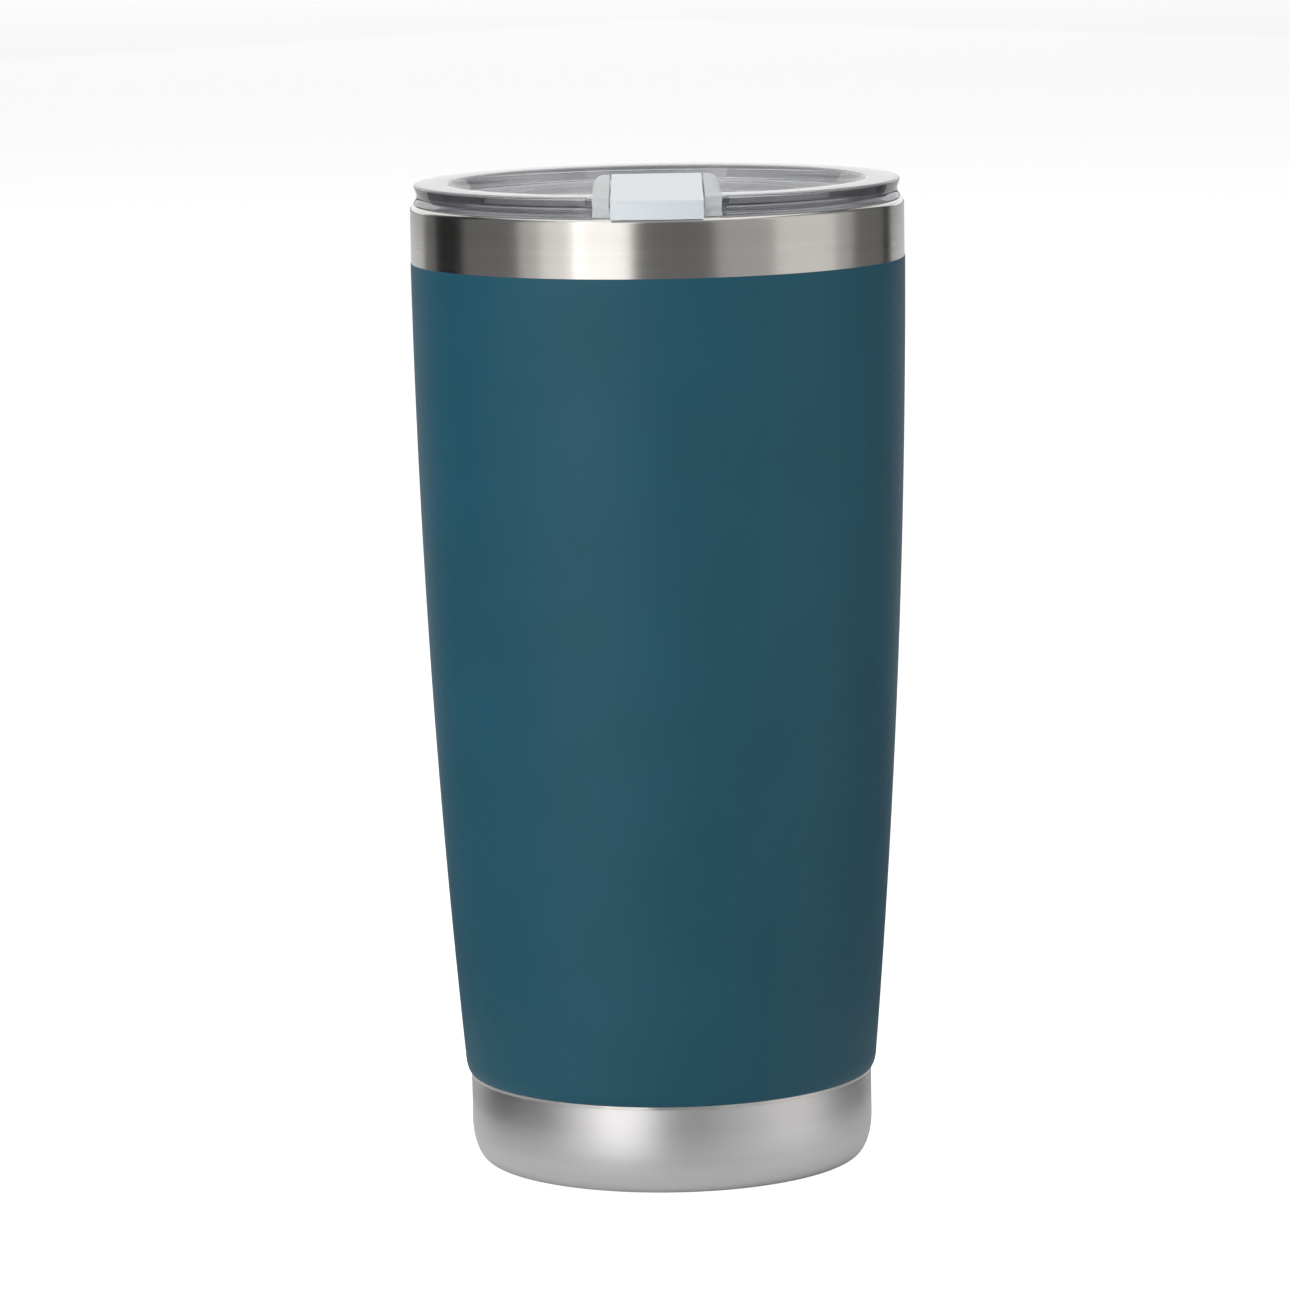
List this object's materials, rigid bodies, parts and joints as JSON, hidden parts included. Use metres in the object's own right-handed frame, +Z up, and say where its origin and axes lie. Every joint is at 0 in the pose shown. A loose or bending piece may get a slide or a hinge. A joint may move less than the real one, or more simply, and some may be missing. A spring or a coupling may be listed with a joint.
{
  "type": "insulated tumbler with flip-top lid",
  "caption": "Tapered vacuum-insulated steel tumbler with a powder-coated body, bare lip and base, and a clear press-in lid with a flip-up tab over the drinking opening.",
  "frame": {"origin": "centre of the foot, on the plane that the tumbler stands on", "axes": "+Z up along the tumbler's axis; -Y towards the drinking side, where the flip tab points; X = 0 is the mirror plane"},
  "size_m": [0.0882, 0.089, 0.1776],
  "materials": {
    "outer_steel": "brushed round the body",
    "coating": "satin powder coat, dark teal",
    "base_steel": "satin, brushed round the body",
    "inner_steel": "electropolished satin",
    "solder_glass": "dark fused bead",
    "getter": "sintered, matt",
    "copper": "thin bright copper foil",
    "silicone": "translucent white, matt",
    "clear_plastic": "clear, glossy",
    "frosted_plastic": "milky translucent"
  },
  "bodies": {
    "tumbler": {"outer_shell": "outer_steel", "powder_coat": "coating", "base_cup": "base_steel", "vacuum_bottom": "inner_steel", "seal_bead": "solder_glass", "getter_pellet": "getter", "getter_clip": "inner_steel", "inner_liner": "inner_steel", "liner_bottom": "inner_steel", "copper_wrap": "copper", "lip_weld": "outer_steel"},
    "lid": {"lid_body": "clear_plastic", "lid_gasket": "silicone"},
    "flip_tab": {"flip_tab": "frosted_plastic", "tab_seal": "silicone"}
  },
  "joints": [
    {"name": "lid_lift", "type": "slide", "parent": "tumbler", "child": "lid", "axis": [0, 0, 1], "range_m": [0, 0.1]},
    {"name": "tab_hinge", "type": "hinge", "parent": "lid", "child": "flip_tab", "pos_m": [0, 0.0015, 0.17525], "axis": [-1, 0, 0], "range_deg": [0, 110]}
  ]
}
